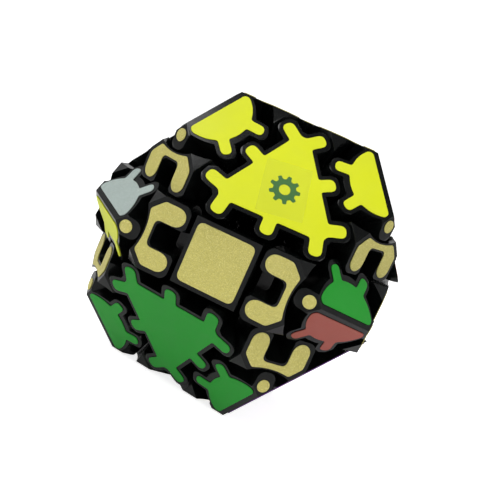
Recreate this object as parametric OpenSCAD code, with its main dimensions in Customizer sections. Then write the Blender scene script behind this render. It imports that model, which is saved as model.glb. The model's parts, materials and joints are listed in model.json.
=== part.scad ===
// Geared tetradecahedron puzzle: six square faces and eight hexagon faces, three layers along every
// axis. The middle layer holds the core. The top and bottom layers are shown part way through a
// turn, and the four gears of the middle layer roll between them.
// Millimetres, +Z up, origin under the centre of the lowest square face.

/* [Overall size] */
// Distance between two opposite square faces
across_squares = 70; // [58:1:84]
// Distance between two opposite hexagon faces, as a share of the distance between the squares
hexagon_share = 0.9714; // [0.95:0.005:0.99]
// Thickness of one sticker
sticker_t = 0.2; // [0.1:0.05:0.4]

/* [Layers] */
// Turn of the top layer from home in degrees, with the bottom layer turned as far the other way
layer_turn = 56.2; // [-180:0.1:180]
// Distance of the layers' cutting planes from the centre, as a share of half the size
cut_share = 0.243; // [0.236:0.001:0.25]
// Gap between two pieces that slide past one another
slide_gap = 0.4; // [0.3:0.05:0.5]

/* [Gearing] */
// Radius of a gear's tooth tips for each millimetre of distance from the centre
gear_tip = 0.325; // [0.31:0.0025:0.33]
// Radius of a gear's tooth roots for each millimetre of distance from the centre
gear_root = 0.228; // [0.2:0.002:0.232]
// Width of a gear tooth for each millimetre of distance from the centre
gear_tooth = 0.115; // [0.09:0.0025:0.12]
// Height of the layer rims' tooth tips above the middle plane, for each millimetre of distance
ring_tip = 0.256; // [0.25:0.002:0.28]
// Height of the layer rims' tooth roots above the middle plane, for each millimetre of distance
ring_root = 0.363; // [0.35:0.001:0.37]
// Width of a rim tooth for each millimetre of distance from the centre
ring_tooth = 0.147; // [0.12:0.001:0.15]

/* [Axles and screws] */
// Diameter of the stub axle under each gear
axle_d = 5; // [4:0.1:6]
// Diameter of the six core screws
screw_d = 3; // [2.4:0.1:3.4]
// Diameter of the small screws that hold the gears
gear_screw_d = 2; // [1.6:0.1:2.4]
// Clearance all round a turning shaft
run_fit = 0.06; // [0.03:0.01:0.1]
// Wire thickness of the six springs
spring_wire = 0.8; // [0.5:0.05:1]

/* [Hidden] */
$fn = 64;
half = across_squares / 2;
hex_half = half * hexagon_share;
size = half / 35;
big = 4 * half;
hex_tilt = acos(1 / sqrt(3));
teeth_in_ring = 20;
teeth_in_gear = 6;
tooth_pitch = 360 / teeth_in_ring;
// Depth of the notch between two sides, as a multiple of the distance at which their flanks meet
valley_share = 1.04;
// Margin round a corner's sticker at distance 1
film_inset = 0.03;
gear_turn = -layer_turn * teeth_in_ring / teeth_in_gear;

// Body planes lie one sticker below the faces, and the stickers make up the difference.
body_half = half - sticker_t;
body_hex = hex_half - sticker_t;
// Half the diagonal of a square face, and the hexagon centre's distance from its short edges
face_corner = hex_half * sqrt(3) - half;
hex_to_ridge = hex_half / sqrt(2);

// Spherical zones, from the outside in: visible blocks, corner feet, edge feet, core
block_r = 20.6 * size;
foot_r = block_r - slide_gap * 0.75;
foot_in_r = 15.3 * size;
hook_r = foot_in_r - slide_gap * 0.75;
hook_in_r = 10 * size;
core_r = hook_in_r - slide_gap;
// Cutting planes of the three zones
block_cut = cut_share * half;
foot_cut = 6 * size;
hook_cut = 3.5 * size;

// Gear room above the saddle, along the axle
saddle_top = 28 * size;
gear_base = saddle_top + 0.75 * slide_gap;
gear_room = gear_tip + 0.015;
step_e = 22.6 * size;
axle_r = axle_d / 2;
head_r = 2.9 * size;

// Centre piece, along its own axis
centre_half = 7.6 * size;
cover_base = 32.4 * size;
pocket_r = 4.4 * size;
pocket_floor = 24 * size;
screw_head_base = 29.4 * size;
screw_head_r = 3.3 * size;
boss_r = 3 * size;
boss_end = 11 * size;
spring_r = 2.7 * size;
spring_turns = 4;
spring_sides = 5;
spring_steps = 12;

// Colours that only tell the pieces apart
plastic = [0.12, 0.12, 0.13];
inner = [0.3, 0.31, 0.33];
metal = [0.7, 0.7, 0.72];
gold = [0.8, 0.75, 0.45];

// ---- Frames ----

// From the puzzle's centre to the part's frame
module lift() {
  translate([0, 0, half]) children();
}

module in_top_layer() {
  lift() rotate([0, 0, layer_turn]) children();
}

module in_bottom_layer() {
  lift() rotate([0, 0, -layer_turn]) children();
}

// Local +Z along the axle of the edge between the +X and +Y faces, local +Y along its ridge
module along_axle() {
  rotate([0, 90, 45]) children();
}

// Local +Z out of the hexagon between +X, +Y and +Z, local +X toward the middle layer
module on_hexagon() {
  rotate([0, hex_tilt, 45]) children();
}

// Local +Z out of the +X face, local +X toward the +Y face
module on_square() {
  rotate([90, 0, 90]) children();
}

// Quarter turns that take the edge or corner at +X +Y to place k, counted from the front right
module quarter(k) {
  rotate([0, 0, 90 * k - 90]) children();
}

module top_edge(k) {
  quarter(k) rotate([90, 0, 0]) children();
}

module bottom_edge(k) {
  quarter(k) rotate([-90, 0, 0]) children();
}

module bottom_corner_place(k) {
  quarter(k) rotate([0, 0, 90]) rotate([180, 0, 0]) children();
}

// ---- Shared volumes ----

// The whole outline: squares at h_square, hexagons at h_hexagon from the centre
module outline(h_square, h_hexagon) {
  intersection() {
    cube(2 * h_square, center = true);
    intersection_for (k = [0:3])
      rotate([0, hex_tilt, 45 + 90 * k])
        cube([big, big, 2 * h_hexagon], center = true);
  }
}

module body_outline() {
  outline(body_half, body_hex);
}

module ball_zone(r_in, r_out) {
  difference() {
    sphere(r_out, $fn = 96);
    sphere(r_in, $fn = 96);
  }
}

// Space of an edge piece: beyond one cutting plane on two axes, between the planes on the third
module edge_cell(cut) {
  translate([cut + slide_gap / 2, cut + slide_gap / 2, -cut + slide_gap / 2])
    cube([big, big, 2 * cut - slide_gap]);
}

module corner_cell(cut) {
  translate((cut + slide_gap / 2) * [1, 1, 1]) cube(big);
}

module centre_cell(half_width) {
  translate([0, -half_width, -half_width]) cube([big, 2 * half_width, 2 * half_width]);
}

// A cone of space that narrows to the puzzle's centre, from distance z0 to z1 along local Z; the
// child is its outline at distance 1
module taper(z0, z1) {
  translate([0, 0, z0])
    linear_extrude(height = z1 - z0, scale = z1 / z0)
      scale(z0)
        children();
}

// ---- Flat outlines ----

// Bar from the origin along +X with two rounded corners at its end
module rounded_bar(start, end, half_width, end_r) {
  translate([start, -half_width]) square([end - end_r - start, 2 * half_width]);
  translate([start, -half_width + end_r]) square([end - start, 2 * (half_width - end_r)]);
  for (side = [-1, 1])
    translate([end - end_r, side * (half_width - end_r)]) circle(end_r, $fn = 24);
}

// Gear with six teeth at distance 1; the ridge runs along Y and two of the teeth lie on it
module gear_flat() {
  circle(gear_root, $fn = 48);
  for (k = [0:teeth_in_gear - 1])
    rotate(30 + k * 360 / teeth_in_gear)
      rounded_bar(0, gear_tip, gear_tooth / 2, gear_tooth * 0.38);
}

// Distance from a hexagon's centre, at distance 1 from the puzzle's centre, at which the face is
// slope times as high above the middle plane as it is away from the axis
function hexagon_x(slope) = (1 - slope * sqrt(2)) / sqrt(3) / (sqrt(2 / 3) + slope / sqrt(3));

// Angle in the hexagon's plane of a rim tooth that stands turn degrees round from the middle one
function splay(turn) = atan(tan(turn) / sqrt(3));

// Point d along a rim tooth's middle line from the hexagon plane's own pole, and w to its side
function tooth_point(turn, d, w) = [
  d * cos(turn) - w * sin(turn) - sqrt(2),
  d * sin(turn) + w * cos(turn)
];

// How far along a tooth its flank at w crosses the line x, or the circle of radius r
function flank_to_line(turn, w, x) = (x + sqrt(2) + w * sin(turn)) / cos(turn);
function flank_to_circle(turn, w, r) =
  sqrt(2) * cos(turn) + sqrt(2 * cos(turn) ^ 2 - 2 - w ^ 2 - 2 * sqrt(2) * w * sin(turn) + r ^ 2);

// One tooth from its lower flank round its rounded tip to its upper flank
function tooth_outline(i, side_x, tip_x, half_w, corner_r) =
  let (
    turn = splay(tooth_pitch * i),
    end = (tip_x + sqrt(2)) / cos(turn),
    round_r = 0.72 * half_w,
    low = i < 0 ? flank_to_circle(turn, -half_w, corner_r) : flank_to_line(turn, -half_w, side_x),
    high = i > 0 ? flank_to_circle(turn, half_w, corner_r) : flank_to_line(turn, half_w, side_x)
  )
  concat(
    [tooth_point(turn, low, -half_w)],
    [for (a = [-90:22.5:0])
      tooth_point(turn, end - round_r + round_r * cos(a), -half_w + round_r + round_r * sin(a))],
    [for (a = [0:22.5:90])
      tooth_point(turn, end - round_r + round_r * cos(a), half_w - round_r + round_r * sin(a))],
    [tooth_point(turn, high, half_w)]
  );

function turned(p, a) = [p[0] * cos(a) - p[1] * sin(a), p[0] * sin(a) + p[1] * cos(a)];

// Distance from the centre at which the outer flanks of two sides' teeth would meet
function flanks_meet(half_w) =
  let (turn = splay(tooth_pitch))
    2 * (sqrt(2) * tan(turn) + half_w / cos(turn)) / (tan(60) - tan(turn));

// Three-sided corner outline at distance 1: side and tooth tips at these distances from its centre
module corner_flat(side_x, tip_x, tooth_half) {
  corner_r = valley_share * flanks_meet(tooth_half);
  polygon([
    for (s = [0:2], i = [-1:1], p = tooth_outline(i, side_x, tip_x, tooth_half, corner_r))
      turned(p, 120 * s)
  ]);
}

// Slot between the two legs of an arm at distance 1, along +X toward the face's corner
module slot_flat(half_w, end, mouth) {
  flare = half_w * 0.35;
  round_r = half_w * 0.45;
  side = concat(
    [[mouth - 0.1, half_w + flare], [mouth, half_w + flare], [mouth + flare, half_w]],
    [for (a = [90:-18:0]) [end - round_r + round_r * cos(a), half_w - round_r + round_r * sin(a)]]
  );
  back = [for (k = [len(side) - 1:-1:0]) [side[k][0], -side[k][1]]];
  polygon(concat(side, back));
}

// ---- Pieces, each in its home place around the puzzle's centre ----

// Ball with six bosses that take the screws
module core_piece() {
  difference() {
    union() {
      sphere(core_r, $fn = 96);
      for (a = axes())
        rotate(a) cylinder(h = boss_end, r = boss_r);
    }
    for (a = axes())
      rotate(a) translate([0, 0, 4 * size]) cylinder(h = big, r = screw_d / 2 + run_fit / 2);
  }
}

// Turns that take +Z to each of the six faces
function axes() = [[90, 0, 0], [0, 90, 0], [-90, 0, 0], [0, -90, 0], [0, 0, 0], [180, 0, 0]];

// Pan head screw with a cross recess, along +Z
module core_screw() {
  difference() {
    union() {
      translate([0, 0, 4.6 * size]) cylinder(h = screw_head_base - 4.6 * size, r = screw_d / 2);
      translate([0, 0, screw_head_base]) cylinder(h = 1.2 * size, r = screw_head_r);
      translate([0, 0, screw_head_base + 1.2 * size])
        cylinder(h = 0.6 * size, r1 = screw_head_r, r2 = screw_head_r * 0.72);
    }
    for (turn = [0, 90])
      rotate(turn)
        translate([-0.4 * size, -1.7 * size, screw_head_base + 0.8 * size])
          cube([0.8 * size, 3.4 * size, 2 * size]);
  }
}

// Point on the wire's surface: step along the coil, corner round the wire
function wire_point(step, corner, rise) =
  let (turn = 360 * step / spring_steps, round_wire = 360 * corner / spring_sides)
    let (r = spring_r + spring_wire / 2 * cos(round_wire))
      [r * cos(turn), r * sin(turn), rise * step / spring_steps + spring_wire / 2 * sin(round_wire)];

// Coil spring from z0 to z1
module spring(z0, z1) {
  steps = spring_turns * spring_steps;
  rise = (z1 - z0 - spring_wire) / spring_turns;
  points = [for (s = [0:steps], c = [0:spring_sides - 1]) wire_point(s, c, rise)];
  sides = [
    for (s = [0:steps - 1], c = [0:spring_sides - 1])
      let (a = s * spring_sides + c, b = s * spring_sides + (c + 1) % spring_sides)
        [a, b, b + spring_sides, a + spring_sides]
  ];
  first = [for (c = [spring_sides - 1:-1:0]) c];
  last = [for (c = [0:spring_sides - 1]) steps * spring_sides + c];
  translate([0, 0, z0 + spring_wire / 2])
    polyhedron(points, concat([first], sides, [last]), convexity = 6);
}

// Square centre toward +X: outer block, skirt that the corner feet hook under, and hollow stem
module centre_piece() {
  difference() {
    union() {
      intersection() {
        centre_cell(centre_half);
        ball_zone(block_r, big);
        translate([0, -big, -big]) cube([cover_base, 2 * big, 2 * big]);
      }
      intersection() {
        centre_cell(foot_cut - slide_gap / 2);
        ball_zone(foot_in_r, block_r + 0.5 * size);
      }
      rotate([0, 90, 0])
        translate([0, 0, boss_end + slide_gap]) cylinder(h = 6 * size, r = boss_r);
    }
    rotate([0, 90, 0]) {
      translate([0, 0, pocket_floor]) cylinder(h = big, r = pocket_r);
      cylinder(h = big, r = screw_d / 2 + run_fit);
    }
  }
}

// Square cover over a centre's screw pocket, with a plug that fits the pocket
module cover_piece() {
  translate([cover_base, -centre_half, -centre_half])
    cube([body_half - cover_base, 2 * centre_half, 2 * centre_half]);
  rotate([0, 90, 0])
    translate([0, 0, cover_base - 0.8 * size])
      cylinder(h = 1.2 * size, r = pocket_r - run_fit);
}

// Edge saddle at +X +Y: two forked arms on the square faces and a bore for the gear's stub axle
module saddle_piece() {
  difference() {
    intersection() {
      body_outline();
      edge_cell(block_cut);
    }
    sphere(block_r, $fn = 96);
    along_axle() {
      translate([0, 0, saddle_top])
        cylinder(h = 20 * size, r1 = gear_room * saddle_top, r2 = gear_room * (saddle_top + 20 * size));
      cylinder(h = big, r = axle_r + run_fit);
      cylinder(h = step_e, r = head_r + 5 * run_fit);
      for (side = [-1, 1])
        translate([0, side * peg_y, 0]) cylinder(h = peg_top + run_fit, r = peg_r + run_fit);
    }
    forked();
    mirror([1, -1, 0]) forked();
  }
}

peg_y = 4.7 * size;
peg_r = 1 * size;
peg_top = 23 * size;

// Slot, narrowing sides and rounded tips of the two legs on the +X face
module forked() {
  leg_side = block_cut - slide_gap / 2;
  leg_tip = block_cut + slide_gap / 2;
  slot_floor = saddle_top - 1.2 * size;
  rotate([90, 0, 90])
    taper(slot_floor, half + 1) slot_flat(slot_half, slot_end, block_cut / half);
  for (side = [0, 1])
    mirror([0, 0, side]) {
      intersection() {
        rotate([0, -atan(leg_side / half), 0]) cube([big, 0.97 * ring_root * half, big]);
        translate([slot_floor, 0, 0]) cube(big);
      }
      rotate([90, 0, 90])
        linear_extrude(big)
          difference() {
            translate([leg_tip - 1, leg_side - leg_round]) square(1 + leg_round);
            translate([leg_tip + leg_round, leg_side - leg_round]) circle(leg_round);
          }
    }
}

slot_half = 2.85 / 35;
slot_end = 15.1 / 35;
leg_round = 1.9 * size;

// Edge foot: a stem between the corner feet and a hook under the centres' skirts
module foot_piece() {
  intersection() {
    edge_cell(foot_cut);
    ball_zone(foot_in_r, foot_r);
  }
  intersection() {
    edge_cell(foot_cut);
    beyond_cut(block_cut);
    ball_zone(foot_r - 0.5 * size, block_r - 0.02);
  }
  intersection() {
    edge_cell(hook_cut);
    ball_zone(hook_in_r, hook_r);
  }
  intersection() {
    edge_cell(hook_cut);
    beyond_cut(foot_cut);
    ball_zone(hook_r - 0.5 * size, foot_in_r + 0.5 * size);
  }
  along_axle()
    for (side = [-1, 1])
      translate([0, side * peg_y, 19 * size]) cylinder(h = peg_top - 19 * size, r = peg_r);
}

// Everything beyond a zone's cutting planes on both of an edge's axes
module beyond_cut(cut) {
  translate([cut + slide_gap / 2, cut + slide_gap / 2, -big]) cube([big, big, 2 * big]);
}

// Gear with its two kites and two square-face teeth, along its own axle at home
module gear_piece() {
  along_axle() difference() {
    union() {
      intersection() {
        taper(gear_base, 43 * size) gear_flat();
        undo_axle() body_outline();
      }
      translate([0, 0, step_e + run_fit]) cylinder(h = gear_base - step_e, r = axle_r);
    }
    translate([0, 0, step_e - 1]) cylinder(h = 7 * size, r = gear_screw_d / 2 + run_fit / 2);
  }
}

// Screw from inside the saddle up into the gear, along local +Z
module gear_screw() {
  along_axle() difference() {
    union() {
      translate([0, 0, step_e - size]) cylinder(h = 6.6 * size, r = gear_screw_d / 2);
      translate([0, 0, step_e - 1.5 * size]) cylinder(h = 1.5 * size - run_fit, r = head_r);
    }
    for (turn = [0, 90])
      rotate(turn)
        translate([-0.35 * size, -1.4 * size, step_e - 2.5 * size])
          cube([0.7 * size, 2.8 * size, 1.8 * size]);
  }
}

// Corner at +X +Y +Z: nine-tooth face piece on a tapered stalk, with its foot
module corner_piece() {
  intersection() {
    on_hexagon()
      taper(stalk_end, hex_half + 1)
        corner_flat(hexagon_x(ring_root), hexagon_x(ring_tip), ring_tooth / 2);
    body_outline();
    corner_cell(block_cut);
  }
  on_hexagon() translate([0, 0, 17 * size]) cylinder(h = stalk_end - 16 * size, r = 3.4 * size);
  intersection() {
    corner_cell(foot_cut);
    ball_zone(foot_in_r, foot_r);
  }
}

stalk_end = 20.8 * size;

// ---- Stickers ----

module square_sticker() {
  on_square() translate([0, 0, body_half])
    linear_extrude(sticker_t)
      rounded_square(6.65 * size, 1.2 * size);
}

module rounded_square(h, r) {
  square([2 * h, 2 * (h - r)], center = true);
  square([2 * (h - r), 2 * h], center = true);
  for (x = [-1, 1], y = [-1, 1])
    translate([x * (h - r), y * (h - r)]) circle(r, $fn = 32);
}

// Forked sticker on the +X face, opening toward the face's centre and pointing to +Y
module arm_sticker() {
  back_r = 16.4 * size;
  back_at = 16.8 * size;
  on_square() translate([0, 0, body_half])
    linear_extrude(sticker_t)
      difference() {
        intersection() {
          translate([9 * size, -7.3 * size]) square([10 * size, 14.6 * size]);
          rotate(45) square(2 * (face_corner - 1.7 * size) / sqrt(2), center = true);
          union() {
            translate([11.5 * size, -7.3 * size]) square([10 * size, 14.6 * size]);
            for (y = [-1, 1])
              translate([11.5 * size, y * 5.2 * size]) circle(2.1 * size);
          }
        }
        rounded_bar(0, slot_end * half + 0.4 * size, slot_half * half + 0.2 * size, size);
        translate([back_at + back_r, 0]) circle(back_r, $fn = 96);
      }
}

module corner_sticker() {
  on_hexagon() translate([0, 0, body_hex])
    linear_extrude(sticker_t)
      scale(hex_half)
        corner_flat(
          hexagon_x(ring_root) - film_inset, hexagon_x(ring_tip) - film_inset,
          ring_tooth / 2 - film_inset
        );
}

// Kite sticker on the upper hexagon of the gear at +X +Y
module kite_sticker() {
  on_hexagon() translate([hex_to_ridge, 0, body_hex])
    linear_extrude(sticker_t)
      intersection() {
        union() {
          circle(8.6 * size);
          for (side = [-1, 1])
            rotate(180 + side * 25.2) rounded_bar(0, 12.2 * size, 1.25 * size, 0.9 * size);
        }
        translate([-20 * size - 1.4 * size, -20 * size]) square([20 * size, 40 * size]);
        intersection_for (side = [-1, 1])
          mirror([0, side - 1, 0])
            translate([0, ridge_len / 2 - size])
              rotate(-30)
                translate([-40 * size, -80 * size]) square([80 * size, 80 * size]);
      }
}

ridge_len = (half - face_corner) * sqrt(2);

module end_sticker() {
  on_square() translate([face_corner - 2.9 * size, 0, body_half])
    linear_extrude(sticker_t) circle(1.5 * size);
}

module gear_stickers() {
  kite_sticker();
  rotate([0, 0, 90]) rotate([180, 0, 0]) kite_sticker();
  end_sticker();
  mirror([1, -1, 0]) end_sticker();
}

module arm_stickers() {
  arm_sticker();
  mirror([1, -1, 0]) arm_sticker();
}

module slice_gear_place(k) {
  lift() quarter(k) along_axle() rotate([0, 0, gear_turn]) undo_axle() children();
}

module undo_axle() {
  rotate([0, -90, 0]) rotate([0, 0, -45]) children();
}

// Four square centres and eight forked arms of the middle layer
module slice_sticker_set() {
  for (k = [0:3])
    quarter(k) {
      square_sticker();
      arm_stickers();
    }
}

// One square centre, four corners, and four edges with their gears
module layer_stickers() {
  rotate([0, -90, 0]) square_sticker();
  for (k = [0:3]) {
    quarter(k) corner_sticker();
    top_edge(k) {
      arm_stickers();
      gear_stickers();
    }
  }
}

// ---- Nodes ----

color(inner) lift() core_piece();  // core
color(metal) lift() for (a = axes()) rotate(a) core_screw();  // core_screws
color(metal) lift() for (a = axes()) rotate(a) spring(pocket_floor + slide_gap / 2, screw_head_base);  // springs
color(plastic) lift() quarter(0) centre_piece();  // centre_front
color(plastic) lift() quarter(1) centre_piece();  // centre_right
color(plastic) lift() quarter(2) centre_piece();  // centre_back
color(plastic) lift() quarter(3) centre_piece();  // centre_left
color(plastic) in_top_layer() rotate([0, -90, 0]) centre_piece();  // centre_top
color(plastic) in_bottom_layer() rotate([0, 90, 0]) centre_piece();  // centre_bottom
color(plastic) lift() for (k = [0:3]) quarter(k) cover_piece();  // slice_covers
color(plastic) in_top_layer() rotate([0, -90, 0]) cover_piece();  // top_cover
color(plastic) in_bottom_layer() rotate([0, 90, 0]) cover_piece();  // bottom_cover
color(plastic) lift() quarter(0) saddle_piece();  // slice_saddle_front_right
color(plastic) lift() quarter(1) saddle_piece();  // slice_saddle_back_right
color(plastic) lift() quarter(2) saddle_piece();  // slice_saddle_back_left
color(plastic) lift() quarter(3) saddle_piece();  // slice_saddle_front_left
color(plastic) in_top_layer() top_edge(0) saddle_piece();  // top_saddle_front
color(plastic) in_top_layer() top_edge(1) saddle_piece();  // top_saddle_right
color(plastic) in_top_layer() top_edge(2) saddle_piece();  // top_saddle_back
color(plastic) in_top_layer() top_edge(3) saddle_piece();  // top_saddle_left
color(plastic) in_bottom_layer() bottom_edge(0) saddle_piece();  // bottom_saddle_front
color(plastic) in_bottom_layer() bottom_edge(1) saddle_piece();  // bottom_saddle_right
color(plastic) in_bottom_layer() bottom_edge(2) saddle_piece();  // bottom_saddle_back
color(plastic) in_bottom_layer() bottom_edge(3) saddle_piece();  // bottom_saddle_left
color(plastic) slice_gear_place(0) gear_piece();  // slice_gear_front_right
color(plastic) slice_gear_place(1) gear_piece();  // slice_gear_back_right
color(plastic) slice_gear_place(2) gear_piece();  // slice_gear_back_left
color(plastic) slice_gear_place(3) gear_piece();  // slice_gear_front_left
color(plastic) in_top_layer() top_edge(0) gear_piece();  // top_gear_front
color(plastic) in_top_layer() top_edge(1) gear_piece();  // top_gear_right
color(plastic) in_top_layer() top_edge(2) gear_piece();  // top_gear_back
color(plastic) in_top_layer() top_edge(3) gear_piece();  // top_gear_left
color(plastic) in_bottom_layer() bottom_edge(0) gear_piece();  // bottom_gear_front
color(plastic) in_bottom_layer() bottom_edge(1) gear_piece();  // bottom_gear_right
color(plastic) in_bottom_layer() bottom_edge(2) gear_piece();  // bottom_gear_back
color(plastic) in_bottom_layer() bottom_edge(3) gear_piece();  // bottom_gear_left
color(inner) lift() for (k = [0:3]) quarter(k) foot_piece();  // slice_feet
color(inner) in_top_layer() for (k = [0:3]) top_edge(k) foot_piece();  // top_feet
color(inner) in_bottom_layer() for (k = [0:3]) bottom_edge(k) foot_piece();  // bottom_feet
color(metal) slice_gear_place(0) gear_screw();  // gear_screw_front_right
color(metal) slice_gear_place(1) gear_screw();  // gear_screw_back_right
color(metal) slice_gear_place(2) gear_screw();  // gear_screw_back_left
color(metal) slice_gear_place(3) gear_screw();  // gear_screw_front_left
color(metal) in_top_layer() for (k = [0:3]) top_edge(k) gear_screw();  // top_gear_screws
color(metal) in_bottom_layer() for (k = [0:3]) bottom_edge(k) gear_screw();  // bottom_gear_screws
color(plastic) in_top_layer() quarter(0) corner_piece();  // top_corner_front_right
color(plastic) in_top_layer() quarter(1) corner_piece();  // top_corner_back_right
color(plastic) in_top_layer() quarter(2) corner_piece();  // top_corner_back_left
color(plastic) in_top_layer() quarter(3) corner_piece();  // top_corner_front_left
color(plastic) in_bottom_layer() bottom_corner_place(0) corner_piece();  // bottom_corner_front_right
color(plastic) in_bottom_layer() bottom_corner_place(1) corner_piece();  // bottom_corner_back_right
color(plastic) in_bottom_layer() bottom_corner_place(2) corner_piece();  // bottom_corner_back_left
color(plastic) in_bottom_layer() bottom_corner_place(3) corner_piece();  // bottom_corner_front_left
color(gold) lift() slice_sticker_set();  // slice_stickers
color(gold) in_top_layer() layer_stickers();  // top_stickers
color(gold) in_bottom_layer() rotate([180, 0, 0]) layer_stickers();  // bottom_stickers
color(gold) slice_gear_place(0) gear_stickers();  // gear_stickers_front_right
color(gold) slice_gear_place(1) gear_stickers();  // gear_stickers_back_right
color(gold) slice_gear_place(2) gear_stickers();  // gear_stickers_back_left
color(gold) slice_gear_place(3) gear_stickers();  // gear_stickers_front_left
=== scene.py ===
"""Looks of the geared tetradecahedron puzzle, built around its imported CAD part.

The black plastic pieces are the CAD nodes themselves, with softened edges. The stickers are made
here, one cushioned film for each face, and coloured by the face that they belong to at home.
"""

import json
import logging
import math
from dataclasses import dataclass, field
from enum import Enum

import bmesh
import bpy
from mathutils import Matrix, Vector


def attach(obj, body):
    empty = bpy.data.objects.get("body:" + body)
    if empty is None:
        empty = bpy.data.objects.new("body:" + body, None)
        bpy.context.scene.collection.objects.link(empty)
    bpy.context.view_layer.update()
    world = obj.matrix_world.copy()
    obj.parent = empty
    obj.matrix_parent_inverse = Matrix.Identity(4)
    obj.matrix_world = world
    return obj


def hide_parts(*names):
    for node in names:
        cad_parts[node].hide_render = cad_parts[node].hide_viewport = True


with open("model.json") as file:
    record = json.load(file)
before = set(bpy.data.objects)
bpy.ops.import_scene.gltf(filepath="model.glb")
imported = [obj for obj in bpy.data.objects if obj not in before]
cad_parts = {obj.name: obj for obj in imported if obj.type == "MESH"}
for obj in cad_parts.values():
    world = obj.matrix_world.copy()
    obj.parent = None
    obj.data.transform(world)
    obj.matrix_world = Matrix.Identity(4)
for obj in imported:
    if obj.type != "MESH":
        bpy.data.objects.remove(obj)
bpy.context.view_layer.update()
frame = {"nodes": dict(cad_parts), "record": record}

LOG = logging.getLogger("puzzle")
MM = 0.001
CENTRE = Vector((0.0, 0.0, 35.0)) * MM
LAYER_TURN = math.radians(56.2)
GEAR_RATIO = 20 / 6

# Points nearer than this are one point, in metres.
WELD_GAP = 2e-6
# A direction with one component above this is a square face's.
SQUARE_LIMIT = 0.9
# Sockets of the colour mix node: its two colours, and its result.
MIX_FIRST, MIX_SECOND, MIX_RESULT = 6, 7, 2
COAT_ROUGHNESS = 0.12
GRAIN_DEPTH = 0.0002
FLAKE_DEPTH = 0.0001
# Share of its full glow that the paper sheds on other things.
SHED_LIGHT = 0.16
# Sides of the round sweep, and its profile in metres: flat radius, bend radius and wall height.
SWEEP_SIDES = 64
SWEEP_FLAT, SWEEP_BEND, SWEEP_WALL = 1.2, 0.8, 3.0
SWEEP_BEND_STEP = 0.26
SWEEP_BEND_COUNT = 6
SWEEP_DROP = 0.0002
SURROUND_STRENGTH = 0.28
WHITE = (1.0, 1.0, 1.0, 1.0)


class Face(Enum):
    """A sticker colour, named by the face it belongs to at home."""

    SQUARE = "gold"
    UPPER_FRONT_LEFT = "yellow"
    UPPER_FRONT_RIGHT = "red"
    UPPER_BACK_RIGHT = "blue"
    UPPER_BACK_LEFT = "white"
    LOWER_FRONT_LEFT = "silver"
    LOWER_FRONT_RIGHT = "green"
    LOWER_BACK_RIGHT = "purple"
    LOWER_BACK_LEFT = "orange"


OCTANTS: dict[tuple[bool, bool, bool], Face] = {
    (False, False, True): Face.UPPER_FRONT_LEFT,
    (True, False, True): Face.UPPER_FRONT_RIGHT,
    (True, True, True): Face.UPPER_BACK_RIGHT,
    (False, True, True): Face.UPPER_BACK_LEFT,
    (False, False, False): Face.LOWER_FRONT_LEFT,
    (True, False, False): Face.LOWER_FRONT_RIGHT,
    (True, True, False): Face.LOWER_BACK_RIGHT,
    (False, True, False): Face.LOWER_BACK_LEFT,
}


def home_face(normal: Vector) -> Face:
    """Tells which face a sticker belongs to when the puzzle is solved.

    Args:
        normal: The sticker's outward direction, turned back to its home place.

    Returns:
        The face whose colour the sticker carries.
    """
    if max(abs(v) for v in normal) > SQUARE_LIMIT:
        return Face.SQUARE
    return OCTANTS[(normal.x > 0, normal.y > 0, normal.z > 0)]


# ---- Shader node groups shared by the finishes ----


def new_group(name: str, inputs: dict[str, float], outputs: list[str]) -> bpy.types.NodeTree:
    """Starts a shader node group with float inputs and outputs.

    Args:
        name: The group's name.
        inputs: Each input socket's name and default value.
        outputs: The output sockets' names.

    Returns:
        The empty group, with its input and output nodes in place.
    """
    tree = bpy.data.node_groups.new(name, "ShaderNodeTree")
    for key, value in inputs.items():
        socket = tree.interface.new_socket(key, in_out="INPUT", socket_type="NodeSocketFloat")
        socket.default_value = value
    for key in outputs:
        tree.interface.new_socket(key, in_out="OUTPUT", socket_type="NodeSocketFloat")
    tree.nodes.new("NodeGroupInput")
    tree.nodes.new("NodeGroupOutput")
    return tree


def part(tree: bpy.types.NodeTree, kind: str, **settings: object) -> bpy.types.Node:
    """Adds a node and sets its properties and input values.

    Args:
        tree: The node tree to add to.
        kind: The node's Blender type.
        **settings: Properties by name, and input sockets' values under the key "values".

    Returns:
        The new node.
    """
    node = tree.nodes.new(kind)
    for socket, value in settings.pop("values", {}).items():
        node.inputs[socket].default_value = value
    for key, value in settings.items():
        setattr(node, key, value)
    return node


def ramp(tree: bpy.types.NodeTree, low: float, high: float, out: tuple[float, float]) -> bpy.types.Node:
    """Adds a map-range node.

    Args:
        tree: The node tree to add to.
        low: The input value that gives the first output.
        high: The input value that gives the second output.
        out: The two output values.

    Returns:
        The new node, whose input and output sockets are both called by index 0.
    """
    return part(
        tree, "ShaderNodeMapRange",
        values={"From Min": low, "From Max": high, "To Min": out[0], "To Max": out[1]},
    )


def grain_group() -> bpy.types.NodeTree:
    """Builds the group for fine surface grain and broad gloss variation.

    Returns:
        A group with the outputs Height, for a bump, and Gloss, from 0 to 1.
    """
    tree = new_group("surface_grain", {"Scale": 900.0}, ["Height", "Gloss"])
    start, end = tree.nodes["Group Input"], tree.nodes["Group Output"]
    place = part(tree, "ShaderNodeTexCoord")
    fine = part(tree, "ShaderNodeTexNoise", values={"Detail": 5.0, "Roughness": 0.6})
    broad = part(tree, "ShaderNodeTexNoise", values={"Scale": 55.0, "Detail": 3.0})
    tree.links.new(place.outputs["Object"], fine.inputs["Vector"])
    tree.links.new(place.outputs["Object"], broad.inputs["Vector"])
    tree.links.new(start.outputs["Scale"], fine.inputs["Scale"])
    tree.links.new(fine.outputs[0], end.inputs["Height"])
    tree.links.new(broad.outputs[0], end.inputs["Gloss"])
    return tree


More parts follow.
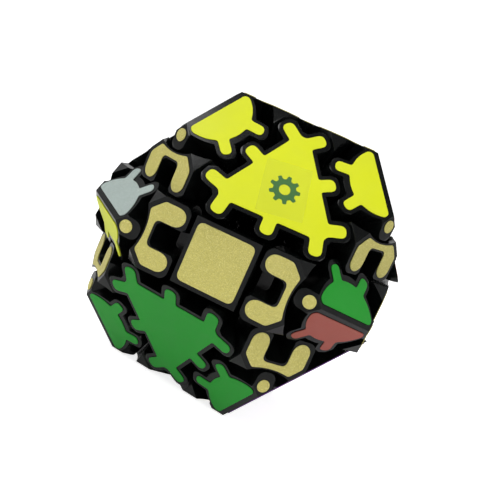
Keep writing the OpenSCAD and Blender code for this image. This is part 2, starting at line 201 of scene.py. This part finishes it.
def scuff_group() -> bpy.types.NodeTree:
    """Builds the group for hairline scuffs that handling leaves.

    Returns:
        A group with the output Mask, 1 on a scuff and 0 elsewhere.
    """
    tree = new_group("hair_scuffs", {"Amount": 0.5}, ["Mask"])
    start, end = tree.nodes["Group Input"], tree.nodes["Group Output"]
    place = part(tree, "ShaderNodeTexCoord")
    warp = part(tree, "ShaderNodeMapping")
    warp.inputs["Rotation"].default_value = (0.5, 0.9, 0.3)
    warp.inputs["Scale"].default_value = (1.0, 14.0, 3.0)
    lines = part(tree, "ShaderNodeTexNoise", values={"Scale": 190.0, "Detail": 8.0, "Roughness": 0.75})
    cut = ramp(tree, 0.66, 0.74, (0.0, 1.0))
    patches = part(tree, "ShaderNodeTexNoise", values={"Scale": 90.0, "Detail": 2.0})
    where = ramp(tree, 0.5, 0.65, (0.0, 1.0))
    both = part(tree, "ShaderNodeMath", operation="MULTIPLY")
    scaled = part(tree, "ShaderNodeMath", operation="MULTIPLY")
    tree.links.new(place.outputs["Object"], warp.inputs["Vector"])
    tree.links.new(warp.outputs["Vector"], lines.inputs["Vector"])
    tree.links.new(place.outputs["Object"], patches.inputs["Vector"])
    tree.links.new(lines.outputs[0], cut.inputs[0])
    tree.links.new(patches.outputs[0], where.inputs[0])
    tree.links.new(cut.outputs[0], both.inputs[0])
    tree.links.new(where.outputs[0], both.inputs[1])
    tree.links.new(both.outputs[0], scaled.inputs[0])
    tree.links.new(start.outputs["Amount"], scaled.inputs[1])
    tree.links.new(scaled.outputs[0], end.inputs["Mask"])
    return tree


def edge_wear_sheen_group() -> bpy.types.NodeTree:
    """Builds the group for paler rubbed convex edges, which on the black plastic are partly a painted
    highlight along the edges.

    Returns:
        A group with the output Mask, 1 on a convex edge and 0 on a flat.
    """
    tree = new_group("edge_wear_sheen_mask", {"Amount": 1.0}, ["Mask"])
    start, end = tree.nodes["Group Input"], tree.nodes["Group Output"]
    shape = part(tree, "ShaderNodeNewGeometry")
    edge = ramp(tree, 0.505, 0.56, (0.0, 1.0))
    place = part(tree, "ShaderNodeTexCoord")
    noise = part(tree, "ShaderNodeTexNoise", values={"Scale": 260.0, "Detail": 4.0})
    broken = ramp(tree, 0.35, 0.6, (0.25, 1.0))
    both = part(tree, "ShaderNodeMath", operation="MULTIPLY")
    scaled = part(tree, "ShaderNodeMath", operation="MULTIPLY")
    tree.links.new(shape.outputs["Pointiness"], edge.inputs[0])
    tree.links.new(place.outputs["Object"], noise.inputs["Vector"])
    tree.links.new(noise.outputs[0], broken.inputs[0])
    tree.links.new(edge.outputs[0], both.inputs[0])
    tree.links.new(broken.outputs[0], both.inputs[1])
    tree.links.new(both.outputs[0], scaled.inputs[0])
    tree.links.new(start.outputs["Amount"], scaled.inputs[1])
    tree.links.new(scaled.outputs[0], end.inputs["Mask"])
    return tree


# ---- Finishes ----


@dataclass(frozen=True)
class Finish:
    """One surface finish, with fine grain, hairline scuffs and paler rubbed edges; on the black plastic
    those edges are partly a painted highlight.

    Attributes:
        name: The material's name.
        colour: Linear base colour.
        wear_and_sheen: Linear colour of rubbed edges and scuffs; on the black plastic the edge colour
            is partly a painted highlight.
        roughness: Roughness at mid gloss.
        variation: How far the roughness strays either way.
        metallic: Metallic value.
        coat: Weight of the clear coat.
        grain: Strength of the grain's bump.
        grain_scale: Scale of the grain's noise.
        edge_wear_and_sheen: Amount of paler rubbed edges; on the black plastic partly a painted
            highlight.
        scuffs: Amount of scuffs.
        glow: Strength of even white light from the surface itself, for the lit sweep.
        specular: Specular level of the base layer.
        cover: Share of what lies below that the surface hides.
    """

    name: str
    colour: tuple[float, float, float]
    wear_and_sheen: tuple[float, float, float]
    roughness: float = 0.3
    variation: float = 0.08
    metallic: float = 0.0
    coat: float = 0.0
    grain: float = 0.08
    grain_scale: float = 900.0
    edge_wear_and_sheen: float = 0.3
    scuffs: float = 0.3
    glow: float = 0.0
    specular: float = 0.3
    cover: float = 1.0

    def build(self) -> bpy.types.Material:
        """Builds the material.

        Returns:
            The new material.
        """
        material = bpy.data.materials.new(self.name)
        material.use_nodes = True
        tree = material.node_tree
        shader = tree.nodes["Principled BSDF"]
        shader.inputs["Metallic"].default_value = self.metallic
        shader.inputs["Coat Weight"].default_value = self.coat
        shader.inputs["Coat Roughness"].default_value = COAT_ROUGHNESS
        shader.inputs["Specular IOR Level"].default_value = self.specular
        shader.inputs["Alpha"].default_value = self.cover
        if self.glow:
            self.light_up(tree, shader)
        colour, roughness = self.surface(tree)
        tree.links.new(colour, shader.inputs["Base Color"])
        tree.links.new(roughness, shader.inputs["Roughness"])
        tree.links.new(self.bump(tree), shader.inputs["Normal"])
        return material

    def light_up(self, tree: bpy.types.NodeTree, shader: bpy.types.Node) -> None:
        """Makes the surface glow white, fully where it is seen and faintly as a light.

        Args:
            tree: The material's node tree.
            shader: The material's shader node.
        """
        path = part(tree, "ShaderNodeLightPath")
        strength = ramp(tree, 0.0, 1.0, (SHED_LIGHT, self.glow))
        shader.inputs["Emission Color"].default_value = WHITE
        tree.links.new(path.outputs["Is Camera Ray"], strength.inputs[0])
        tree.links.new(strength.outputs[0], shader.inputs["Emission Strength"])

    def group(self, tree: bpy.types.NodeTree, name: str, **values: float) -> bpy.types.Node:
        """Adds one of the shared groups.

        Args:
            tree: The material's node tree.
            name: The group's name.
            **values: Its input values.

        Returns:
            The group node.
        """
        node = part(tree, "ShaderNodeGroup", node_tree=bpy.data.node_groups[name])
        for key, value in values.items():
            node.inputs[key].default_value = value
        return node

    def surface(self, tree: bpy.types.NodeTree) -> tuple[bpy.types.NodeSocket, bpy.types.NodeSocket]:
        """Adds the colour and roughness network.

        Args:
            tree: The material's node tree.

        Returns:
            The colour socket and the roughness socket.
        """
        grain = self.group(tree, "surface_grain", Scale=self.grain_scale)
        edge_wear_and_sheen = self.group(tree, "edge_wear_sheen_mask", Amount=self.edge_wear_and_sheen)
        scuffs = self.group(tree, "hair_scuffs", Amount=self.scuffs)
        wear_and_sheen = part(tree, "ShaderNodeMath", operation="MAXIMUM")
        tone = part(tree, "ShaderNodeMix", data_type="RGBA")
        tone.inputs[MIX_FIRST].default_value = (*(0.9 * c for c in self.colour), 1.0)
        tone.inputs[MIX_SECOND].default_value = (*(min(1.0, 1.08 * c) for c in self.colour), 1.0)
        # The paler edge and scuff colour mixed in here is partly rubbing and, on the black plastic,
        # partly a painted highlight along the edges.
        mix = part(tree, "ShaderNodeMix", data_type="RGBA")
        mix.inputs[MIX_SECOND].default_value = (*self.wear_and_sheen, 1.0)
        gloss = ramp(tree, 0.3, 0.7, (self.roughness - self.variation, self.roughness + self.variation))
        rough = part(tree, "ShaderNodeMath", operation="ADD", use_clamp=True)
        extra = part(tree, "ShaderNodeMath", operation="MULTIPLY")
        extra.inputs[1].default_value = 0.25
        tree.links.new(edge_wear_and_sheen.outputs["Mask"], wear_and_sheen.inputs[0])
        tree.links.new(scuffs.outputs["Mask"], wear_and_sheen.inputs[1])
        tree.links.new(grain.outputs["Gloss"], tone.inputs[0])
        tree.links.new(tone.outputs[MIX_RESULT], mix.inputs[MIX_FIRST])
        tree.links.new(wear_and_sheen.outputs[0], mix.inputs[0])
        tree.links.new(grain.outputs["Gloss"], gloss.inputs[0])
        tree.links.new(wear_and_sheen.outputs[0], extra.inputs[0])
        tree.links.new(gloss.outputs[0], rough.inputs[0])
        tree.links.new(extra.outputs[0], rough.inputs[1])
        return mix.outputs[MIX_RESULT], rough.outputs[0]

    def bump(self, tree: bpy.types.NodeTree) -> bpy.types.NodeSocket:
        """Adds the bump network.

        Args:
            tree: The material's node tree.

        Returns:
            The normal socket.
        """
        grain = self.group(tree, "surface_grain", Scale=self.grain_scale)
        bump = part(tree, "ShaderNodeBump", values={"Strength": self.grain, "Distance": GRAIN_DEPTH})
        tree.links.new(grain.outputs["Height"], bump.inputs["Height"])
        return bump.outputs["Normal"]


@dataclass(frozen=True)
class FlakeFinish(Finish):
    """A film of fine metallic flakes, each with its own shade and tilt.

    Attributes:
        bright: Linear colour of the flakes that catch the light.
        flake_scale: Scale of the flake cells.
        tilt: Strength of the flakes' bump.
    """

    bright: tuple[float, float, float] = (1.0, 0.95, 0.7)
    flake_scale: float = 5200.0
    tilt: float = 0.5

    def cells(self, tree: bpy.types.NodeTree) -> bpy.types.Node:
        """Adds the flake cells.

        Args:
            tree: The material's node tree.

        Returns:
            The Voronoi node.
        """
        place = part(tree, "ShaderNodeTexCoord")
        cells = part(tree, "ShaderNodeTexVoronoi", values={"Scale": self.flake_scale})
        tree.links.new(place.outputs["Object"], cells.inputs["Vector"])
        return cells

    def surface(self, tree: bpy.types.NodeTree) -> tuple[bpy.types.NodeSocket, bpy.types.NodeSocket]:
        """Adds the colour and roughness network, with flakes over the base.

        Args:
            tree: The material's node tree.

        Returns:
            The colour socket and the roughness socket.
        """
        base, rough = super().surface(tree)
        shade = part(tree, "ShaderNodeSeparateColor")
        dark = ramp(tree, 0.0, 1.0, (0.78, 1.12))
        tint = part(tree, "ShaderNodeMix", data_type="RGBA", blend_type="MULTIPLY")
        tint.inputs[0].default_value = 1.0
        spark = ramp(tree, 0.86, 0.97, (0.0, 1.0))
        mix = part(tree, "ShaderNodeMix", data_type="RGBA")
        mix.inputs[MIX_SECOND].default_value = (*self.bright, 1.0)
        tree.links.new(self.cells(tree).outputs["Color"], shade.inputs[0])
        tree.links.new(shade.outputs[0], dark.inputs[0])
        tree.links.new(base, tint.inputs[MIX_FIRST])
        tree.links.new(dark.outputs[0], tint.inputs[MIX_SECOND])
        tree.links.new(shade.outputs[1], spark.inputs[0])
        tree.links.new(tint.outputs[MIX_RESULT], mix.inputs[MIX_FIRST])
        tree.links.new(spark.outputs[0], mix.inputs[0])
        return mix.outputs[MIX_RESULT], rough

    def bump(self, tree: bpy.types.NodeTree) -> bpy.types.NodeSocket:
        """Adds the bump network, in which each flake leans its own way.

        Args:
            tree: The material's node tree.

        Returns:
            The normal socket.
        """
        lean = part(tree, "ShaderNodeBump", values={"Strength": self.tilt, "Distance": FLAKE_DEPTH})
        tree.links.new(self.cells(tree).outputs["Distance"], lean.inputs["Height"])
        tree.links.new(super().bump(tree), lean.inputs["Normal"])
        return lean.outputs["Normal"]


def vinyl(face: Face, colour: tuple[float, float, float]) -> Finish:
    """Describes one plain vinyl sticker.

    Args:
        face: The face the colour belongs to.
        colour: Linear base colour.

    Returns:
        The finish.
    """
    wear_and_sheen = tuple(0.75 * c + 0.06 for c in colour)
    return Finish(
        f"vinyl_{face.value}", colour, wear_and_sheen, roughness=0.42, variation=0.07,
        grain=0.06, grain_scale=1400.0, edge_wear_and_sheen=0.15, scuffs=0.2, coat=0.04, specular=0.2,
    )


STICKER_FINISHES: dict[Face, Finish] = {
    Face.SQUARE: FlakeFinish(
        "flake_gold", (0.60, 0.54, 0.15), (0.42, 0.38, 0.12), roughness=0.45, metallic=0.3,
        grain=0.1, edge_wear_and_sheen=0.1, scuffs=0.2, bright=(0.84, 0.79, 0.36), flake_scale=10500.0, tilt=0.26,
    ),
    Face.UPPER_FRONT_LEFT: vinyl(Face.UPPER_FRONT_LEFT, (0.70, 0.755, 0.012)),
    Face.UPPER_FRONT_RIGHT: vinyl(Face.UPPER_FRONT_RIGHT, (0.34, 0.075, 0.055)),
    Face.UPPER_BACK_RIGHT: vinyl(Face.UPPER_BACK_RIGHT, (0.02, 0.10, 0.46)),
    Face.UPPER_BACK_LEFT: vinyl(Face.UPPER_BACK_LEFT, (0.72, 0.73, 0.72)),
    Face.LOWER_FRONT_LEFT: FlakeFinish(
        "flake_silver", (0.42, 0.50, 0.47), (0.3, 0.34, 0.33), roughness=0.42, metallic=0.2,
        grain=0.06, edge_wear_and_sheen=0.1, scuffs=0.2, bright=(0.6, 0.67, 0.65), flake_scale=12000.0, tilt=0.1,
    ),
    Face.LOWER_FRONT_RIGHT: vinyl(Face.LOWER_FRONT_RIGHT, (0.012, 0.30, 0.022)),
    Face.LOWER_BACK_RIGHT: vinyl(Face.LOWER_BACK_RIGHT, (0.19, 0.04, 0.32)),
    Face.LOWER_BACK_LEFT: vinyl(Face.LOWER_BACK_LEFT, (0.78, 0.21, 0.02)),
}

# The paler colour on the black plastic's convex edges is partly rubbing and partly a painted highlight
# along the edges.
SHELL = Finish(
    "black_gloss", (0.0018, 0.0024, 0.0024), (0.012, 0.013, 0.012), roughness=0.17, variation=0.05,
    coat=0.06, grain=0.04, edge_wear_and_sheen=0.2, scuffs=0.12, specular=0.2,
)
INSIDE = Finish("black_inside", (0.01, 0.01, 0.011), (0.03, 0.03, 0.03), roughness=0.5, grain=0.12)
STEEL = Finish(
    "zinc_steel", (0.55, 0.56, 0.58), (0.7, 0.7, 0.7), roughness=0.32, metallic=1.0, grain=0.1,
)
PRINT = Finish(
    "printed_ink", (0.05, 0.16, 0.04), (0.08, 0.2, 0.07), roughness=0.4, edge_wear_and_sheen=0.0, scuffs=0.6,
)
CLEAR = Finish(
    "clear_film", (0.80, 0.84, 0.10), (0.75, 0.8, 0.2), roughness=0.16, variation=0.03,
    coat=0.3, grain=0.03, edge_wear_and_sheen=0.0, scuffs=0.5, cover=0.16,
)
PAPER = Finish(
    "pale_floor", (0.8, 0.8, 0.8), (0.8, 0.8, 0.8), roughness=0.9, grain=0.02, grain_scale=60.0,
    edge_wear_and_sheen=0.0, scuffs=0.0, glow=0.8,
)


# ---- Flat films ----


def smooth_outline(points: list[Vector], step: float, reach_mm: float) -> list[Vector]:
    """Resamples a closed outline evenly and rounds its corners.

    Args:
        points: The outline's corners in order.
        step: Distance between two new points, in metres.
        reach_mm: How far along the outline the rounding reaches, in millimetres.

    Returns:
        The new points in order.
    """
    closed = points + points[:1]
    sides = [(b - a).length for a, b in zip(closed, closed[1:])]
    count = max(24, round(sum(sides) / step))
    pitch = sum(sides) / count
    even, side, gone = [], 0, 0.0
    for k in range(count):
        while side < len(sides) - 1 and gone + sides[side] < k * pitch:
            gone += sides[side]
            side += 1
        even.append(closed[side].lerp(closed[side + 1], (k * pitch - gone) / max(sides[side], 1e-9)))
    spread = reach_mm * MM / pitch
    near = range(-round(3 * spread), round(3 * spread) + 1)
    weights = [math.exp(-0.5 * (d / spread) ** 2) for d in near]
    total = sum(weights)
    return [
        sum((even[(k + d) % count] * w for d, w in zip(near, weights)), Vector()) / total
        for k in range(count)
    ]


def add_film(
    mesh: bmesh.types.BMesh, outline: list[Vector], normal: Vector, thickness: float, index: int
) -> None:
    """Adds one flat film to a mesh.

    Args:
        mesh: The mesh to add to.
        outline: The film's outer edge, in order round its outward direction.
        normal: Its outward direction.
        thickness: Its thickness in metres.
        index: Its material's place in the object's list.
    """
    high = [mesh.verts.new(p) for p in outline]
    low = [mesh.verts.new(p - normal * thickness) for p in outline]
    polygons = [mesh.faces.new(high), mesh.faces.new(low[::-1])]
    for k, here in enumerate(high):
        after = (k + 1) % len(high)
        polygons.append(mesh.faces.new((here, low[k], low[after], high[after])))
    for polygon in polygons:
        polygon.material_index = index
        polygon.smooth = True


def new_object(name: str, mesh: bmesh.types.BMesh) -> bpy.types.Object:
    """Turns a built mesh into an object of the scene.

    Args:
        name: The object's name.
        mesh: The built mesh, which is freed.

    Returns:
        The new object.
    """
    data = bpy.data.meshes.new(name)
    mesh.normal_update()
    mesh.to_mesh(data)
    mesh.free()
    made = bpy.data.objects.new(name, data)
    bpy.context.scene.collection.objects.link(made)
    return made


def add_rim(film: bpy.types.Object, width: float) -> None:
    """Rounds the rim of a film.

    Args:
        film: The film's object.
        width: The rounding's width in metres.
    """
    bevel = film.modifiers.new("rim", "BEVEL")
    bevel.width = width
    bevel.segments = 2
    bevel.limit_method = "ANGLE"
    bevel.angle_limit = math.radians(50)
    film.modifiers.new("face_normals", "WEIGHTED_NORMAL")


@dataclass
class ClearPatch:
    """A clear film on one corner's sticker, printed with a plain little cog.

    Attributes:
        body: The CAD body it rides on.
        azimuth: Direction of the hexagon it lies on, in degrees from +X.
        distance_mm: Distance of the sticker's surface from the puzzle's centre.
        size_mm: Its width and height.
        shift_mm: How far its centre lies from the sticker's centre, across and down.
        tilt: Its turn in its own plane, in degrees.
        cog_teeth: Number of the cog's teeth.
        cog_mm: The cog's outer radius.
        hole: The cog's hole, as a share of its radius.
        root: Radius of the cog's roots, as a share of its radius.
        tip_half: Half a tooth's width at its tip, as a share of the pitch.
        root_half: Half a tooth's width at its root, as a share of the pitch.
        lift: How far the film lies above the sticker, in metres. The ink lies twice as far above it.
    """

    body: str = "top_layer"
    azimuth: float = -78.8
    distance_mm: float = 34.0
    size_mm: tuple[float, float] = (10.4, 13.2)
    shift_mm: tuple[float, float] = (0.4, 0.3)
    tilt: float = 8.0
    cog_teeth: int = 9
    cog_mm: float = 3.5
    hole: float = 0.36
    root: float = 0.74
    tip_half: float = 0.17
    root_half: float = 0.30
    lift: float = 0.00001

    def plane(self) -> Matrix:
        """Works out the patch's own frame.

        Returns:
            A matrix whose X runs across the sticker, Y up it and Z out of it.
        """
        a = math.radians(self.azimuth)
        out = Vector((math.cos(a) * math.sqrt(2), math.sin(a) * math.sqrt(2), 1.0)).normalized()
        across = Vector((-math.sin(a), math.cos(a), 0.0))
        up = out.cross(across)
        turn = Matrix((across, up, out)).transposed().to_4x4()
        place = Matrix.Translation(CENTRE + out * self.distance_mm * MM)
        shift = Matrix.Translation(Vector((self.shift_mm[0], -self.shift_mm[1], 0.0)) * MM)
        return place @ turn @ shift @ Matrix.Rotation(math.radians(self.tilt), 4, "Z")

    def cog_outline(self) -> list[Vector]:
        """Works out the cog's outline.

        Returns:
            Its corners in order, in metres.
        """
        root, tip = (self.root_half, self.root), (self.tip_half, 1.0)
        tooth = ((-root[0], root[1]), (-tip[0], tip[1]), tip, root)
        points = []
        for k in range(self.cog_teeth):
            for turn, radius in tooth:
                a = 2 * math.pi * (k + turn) / self.cog_teeth
                points.append(Vector((math.cos(a), math.sin(a), 0.0)) * radius * self.cog_mm * MM)
        return points

    def ring(self, mesh: bmesh.types.BMesh, outline: list[Vector], inner: float, index: int) -> None:
        """Adds the printed ring between an outline and a round hole.

        Args:
            mesh: The mesh to add to.
            outline: The outer edge.
            inner: The hole's radius in metres.
            index: The material's place.
        """
        above = Vector((0.0, 0.0, 2 * self.lift))
        outer = [mesh.verts.new(p + above) for p in outline]
        hole = [mesh.verts.new(p.normalized() * inner + above) for p in outline]
        for k, here in enumerate(outer):
            after = (k + 1) % len(outer)
            mesh.faces.new((here, outer[after], hole[after], hole[k])).material_index = index

    def build(self, materials: dict[str, bpy.types.Material]) -> bpy.types.Object:
        """Builds the patch.

        Args:
            materials: The finished materials by name.

        Returns:
            The patch's object.
        """
        w, h = (0.5 * s * MM for s in self.size_mm)
        signs = ((-1, -1), (1, -1), (1, 1), (-1, 1))
        corners = [Vector((x * w, y * h, self.lift)) for x, y in signs]
        mesh = bmesh.new()
        edge = smooth_outline(corners, 0.0003, 0.3)
        mesh.faces.new([mesh.verts.new(p) for p in edge]).material_index = 0
        cog = smooth_outline(self.cog_outline(), 0.00012, 0.12)
        self.ring(mesh, cog, self.hole * self.cog_mm * MM, 1)
        patch = new_object("clear_patch", mesh)
        patch.data.materials.append(materials[CLEAR.name])
        patch.data.materials.append(materials[PRINT.name])
        patch.data.transform(self.plane())
        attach(patch, self.body)
        return patch


# ---- Sub-assemblies ----


def sticker_islands(mesh: bmesh.types.BMesh) -> list[list[bmesh.types.BMFace]]:
    """Splits a mesh into its separate solids.

    Args:
        mesh: The welded mesh of one sticker node.

    Returns:
        One list of faces for each solid.
    """
    left, islands = set(mesh.faces), []
    while left:
        queue, island = [left.pop()], []
        while queue:
            here = queue.pop()
            island.append(here)
            for edge in here.edges:
                for other in edge.link_faces:
                    if other in left:
                        left.discard(other)
                        queue.append(other)
        islands.append(island)
    return islands


@dataclass
class SubAssembly:
    """A group of pieces that moves as one body.

    Attributes:
        body: The CAD body's name.
        sticker_node: The CAD node of its stickers.
        edge_mm: Radius of the plastic's softened edges, in millimetres.
        rim_mm: Radius of the stickers' rounded rims, in millimetres.
        corner_mm: How far the rounding of the stickers' corners reaches, in millimetres.
        step_mm: Distance between two points of a sticker's edge, in millimetres.
        film_mm: Thickness of a sticker, in millimetres.
        home: Turn that takes a direction at rest back to its home direction.
    """

    body: str
    sticker_node: str
    edge_mm: float = 0.28
    rim_mm: float = 0.06
    corner_mm: float = 0.38
    step_mm: float = 0.22
    film_mm: float = 0.2
    home: Matrix = field(default_factory=lambda: Matrix.Identity(3))

    def plastic_nodes(self) -> list[str]:
        """Lists the body's CAD nodes other than its stickers.

        Returns:
            The nodes' names.
        """
        members = frame["record"]["behaviour"]["bodies"][self.body]
        return [n for n in members if n != self.sticker_node]

    def dress(self, materials: dict[str, bpy.types.Material]) -> None:
        """Gives the body's plastic and metal pieces their finish and softened edges.

        Args:
            materials: The finished materials by name.
        """
        for name in self.plastic_nodes():
            piece = frame["nodes"][name]
            piece.data.materials.clear()
            piece.data.materials.append(materials[self.finish_of(name)])
            if "screw" not in name and name != "springs":
                self.soften(piece, self.edge_mm * MM)

    @staticmethod
    def finish_of(name: str) -> str:
        """Picks the finish of a CAD node.

        Args:
            name: The node's name.

        Returns:
            The name of its material.
        """
        if "screw" in name or name == "springs":
            return STEEL.name
        if name == "core" or name.endswith("_feet"):
            return INSIDE.name
        return SHELL.name

    @staticmethod
    def soften(piece: bpy.types.Object, width: float) -> None:
        """Rounds the edges of a piece without changing its own vertices.

        Args:
            piece: The mesh object.
            width: The rounding's width in metres.
        """
        weld = piece.modifiers.new("weld", "WELD")
        weld.merge_threshold = WELD_GAP
        bevel = piece.modifiers.new("soft_edges", "BEVEL")
        bevel.width = width
        bevel.segments = 2
        bevel.limit_method = "ANGLE"
        bevel.angle_limit = math.radians(32)
        bevel.use_clamp_overlap = True
        bevel.harden_normals = False
        normals = piece.modifiers.new("face_normals", "WEIGHTED_NORMAL")
        normals.keep_sharp = False

    def build_stickers(self, materials: dict[str, bpy.types.Material]) -> bpy.types.Object:
        """Makes the body's stickers, one cushioned film for each face.

        Args:
            materials: The finished materials by name.

        Returns:
            The object that holds them.
        """
        source = bmesh.new()
        source.from_mesh(frame["nodes"][self.sticker_node].data)
        bmesh.ops.remove_doubles(source, verts=source.verts, dist=WELD_GAP)
        bmesh.ops.dissolve_limit(
            source, angle_limit=math.radians(1), verts=source.verts, edges=source.edges
        )
        films = bmesh.new()
        faces = list(Face)
        for island in sticker_islands(source):
            top = self.top_of(island)
            index = faces.index(home_face(self.home @ top.normal))
            corners = [v.co.copy() for v in top.verts]
            outline = smooth_outline(corners, self.step_mm * MM, self.corner_mm)
            add_film(films, outline, top.normal.copy(), self.film_mm * MM, index)
        source.free()
        film = new_object(f"film_{self.body}", films)
        for face in faces:
            film.data.materials.append(materials[STICKER_FINISHES[face].name])
        add_rim(film, self.rim_mm * MM)
        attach(film, self.body)
        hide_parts(self.sticker_node)
        return film

    @staticmethod
    def top_of(island: list[bmesh.types.BMFace]) -> bmesh.types.BMFace:
        """Finds the polygon of a sticker that faces outward.

        Args:
            island: The sticker's polygons.

        Returns:
            The largest polygon that faces away from the puzzle's centre.
        """
        facing = [f for f in island if f.normal.dot(f.calc_center_median() - CENTRE) > 0]
        return max(facing, key=lambda f: f.calc_area())


@dataclass
class MiddleLayer(SubAssembly):
    """The core, its springs and screws, four square centres and four saddles."""

    body: str = "middle_layer"
    sticker_node: str = "slice_stickers"


@dataclass
class TurningLayer(SubAssembly):
    """The top or bottom layer: a centre, four saddles with gears, and four corners.

    Attributes:
        turn: How far it is turned from home, in radians.
    """

    turn: float = 0.0

    def __post_init__(self) -> None:
        """Works out the turn back to home."""
        self.home = Matrix.Rotation(-self.turn, 3, "Z")


@dataclass
class EdgeGear(SubAssembly):
    """One gear of the middle layer, with its two kites and its two square-face teeth.

    Attributes:
        azimuth: Direction of its axle, in degrees from +X.
    """

    azimuth: float = 0.0

    def __post_init__(self) -> None:
        """Works out the turn back to home."""
        a = math.radians(self.azimuth)
        axle = Vector((math.cos(a), math.sin(a), 0.0))
        self.home = Matrix.Rotation(LAYER_TURN * GEAR_RATIO, 3, axle)


# ---- Studio ----


@dataclass
class Studio:
    """Pale sweep, soft lights and the camera.

    Attributes:
        camera_mm: The camera's place in the part's frame, in millimetres.
        right: The camera's right in the part's frame.
        up: The camera's up in the part's frame.
        lens_mm: Focal length on a 36 mm sensor.
    """

    camera_mm: tuple[float, float, float] = (28.25, -179.60, 64.27)
    right: tuple[float, float, float] = (0.89173, 0.20593, 0.40300)
    up: tuple[float, float, float] = (-0.42578, 0.07989, 0.90129)
    lens_mm: float = 51.94

    def build(self, materials: dict[str, bpy.types.Material]) -> None:
        """Builds the whole studio.

        Args:
            materials: The finished materials by name.
        """
        self.build_sweep(materials[PAPER.name])
        self.build_camera()
        self.build_light("key", (-0.2, -0.3, 0.62), 0.3, 2.3)
        self.build_light("fill", (0.5, -0.45, 0.35), 0.25, 0.8)
        self.build_light("back", (0.1, 0.5, 0.6), 0.4, 1.2)
        self.build_world()

    @staticmethod
    def build_sweep(material: bpy.types.Material) -> None:
        """Builds the floor and the curved wall all round it.

        Args:
            material: The paper's material.
        """
        mesh = bmesh.new()
        profile = [(SWEEP_FLAT, 0.0)]
        for k in range(1, SWEEP_BEND_COUNT + 1):
            a = SWEEP_BEND_STEP * k
            out, rise = SWEEP_BEND * math.sin(a), SWEEP_BEND * (1.0 - math.cos(a))
            profile.append((SWEEP_FLAT + out, rise))
        profile.append((SWEEP_FLAT + SWEEP_BEND, SWEEP_WALL))
        steps = [2 * math.pi * k / SWEEP_SIDES for k in range(SWEEP_SIDES)]
        centre = mesh.verts.new((0.0, 0.0, 0.0))
        rings = [
            [mesh.verts.new((radius * math.cos(a), radius * math.sin(a), height)) for a in steps]
            for radius, height in profile
        ]
        for k in range(SWEEP_SIDES):
            mesh.faces.new((centre, rings[0][k], rings[0][(k + 1) % SWEEP_SIDES]))
        for low, high in zip(rings, rings[1:]):
            for k in range(SWEEP_SIDES):
                after = (k + 1) % SWEEP_SIDES
                mesh.faces.new((low[k], high[k], high[after], low[after]))
        for polygon in mesh.faces:
            polygon.smooth = True
        sweep = new_object("sweep", mesh)
        sweep.data.materials.append(material)
        sweep.location.z = -SWEEP_DROP

    def build_camera(self) -> None:
        """Builds the camera and makes it the scene's own."""
        data = bpy.data.cameras.new("camera")
        data.lens = self.lens_mm
        data.clip_start = 0.005
        camera = bpy.data.objects.new("camera", data)
        right, up = Vector(self.right), Vector(self.up)
        turn = Matrix((right, up, right.cross(up))).transposed()
        camera.matrix_world = Matrix.Translation(Vector(self.camera_mm) * MM) @ turn.to_4x4()
        bpy.context.scene.collection.objects.link(camera)
        bpy.context.scene.camera = camera

    @staticmethod
    def build_light(name: str, place: tuple[float, float, float], size: float, power: float) -> None:
        """Builds one soft square light that points at the puzzle.

        Args:
            name: The light's name.
            place: Its place in metres.
            size: Its side in metres.
            power: Its power in watts.
        """
        data = bpy.data.lights.new(name, "AREA")
        data.shape = "SQUARE"
        data.size = size
        data.energy = power
        light = bpy.data.objects.new(name, data)
        light.location = place
        aim = CENTRE - Vector(place)
        light.rotation_mode = "QUATERNION"
        light.rotation_quaternion = aim.to_track_quat("-Z", "Y")
        bpy.context.scene.collection.objects.link(light)

    @staticmethod
    def build_world() -> None:
        """Builds the even pale surround."""
        world = bpy.data.worlds.new("surround")
        world.use_nodes = True
        shade = world.node_tree.nodes["Background"]
        shade.inputs["Color"].default_value = WHITE
        shade.inputs["Strength"].default_value = SURROUND_STRENGTH
        bpy.context.scene.world = world
        bpy.context.scene.view_settings.view_transform = "Standard"


def main() -> None:
    """Builds the finishes, dresses each sub-assembly and sets up the studio."""
    logging.basicConfig(level=logging.INFO, format="%(name)s: %(message)s")
    for build in (grain_group, scuff_group, edge_wear_sheen_group):
        build()
    finishes = [*STICKER_FINISHES.values(), SHELL, INSIDE, STEEL, PRINT, CLEAR, PAPER]
    materials = {finish.name: finish.build() for finish in finishes}
    LOG.info("built %d finishes", len(materials))
    assemblies: list[SubAssembly] = [
        MiddleLayer(),
        TurningLayer("top_layer", "top_stickers", turn=LAYER_TURN),
        TurningLayer("bottom_layer", "bottom_stickers", turn=-LAYER_TURN),
        EdgeGear("gear_front_right", "gear_stickers_front_right", azimuth=-45.0),
        EdgeGear("gear_back_right", "gear_stickers_back_right", azimuth=45.0),
        EdgeGear("gear_back_left", "gear_stickers_back_left", azimuth=135.0),
        EdgeGear("gear_front_left", "gear_stickers_front_left", azimuth=225.0),
    ]
    for assembly in assemblies:
        assembly.dress(materials)
        film = assembly.build_stickers(materials)
        LOG.info("dressed %s with %d sticker polygons", assembly.body, len(film.data.polygons))
    ClearPatch().build(materials)
    Studio().build(materials)


if __name__ == "__main__":
    main()
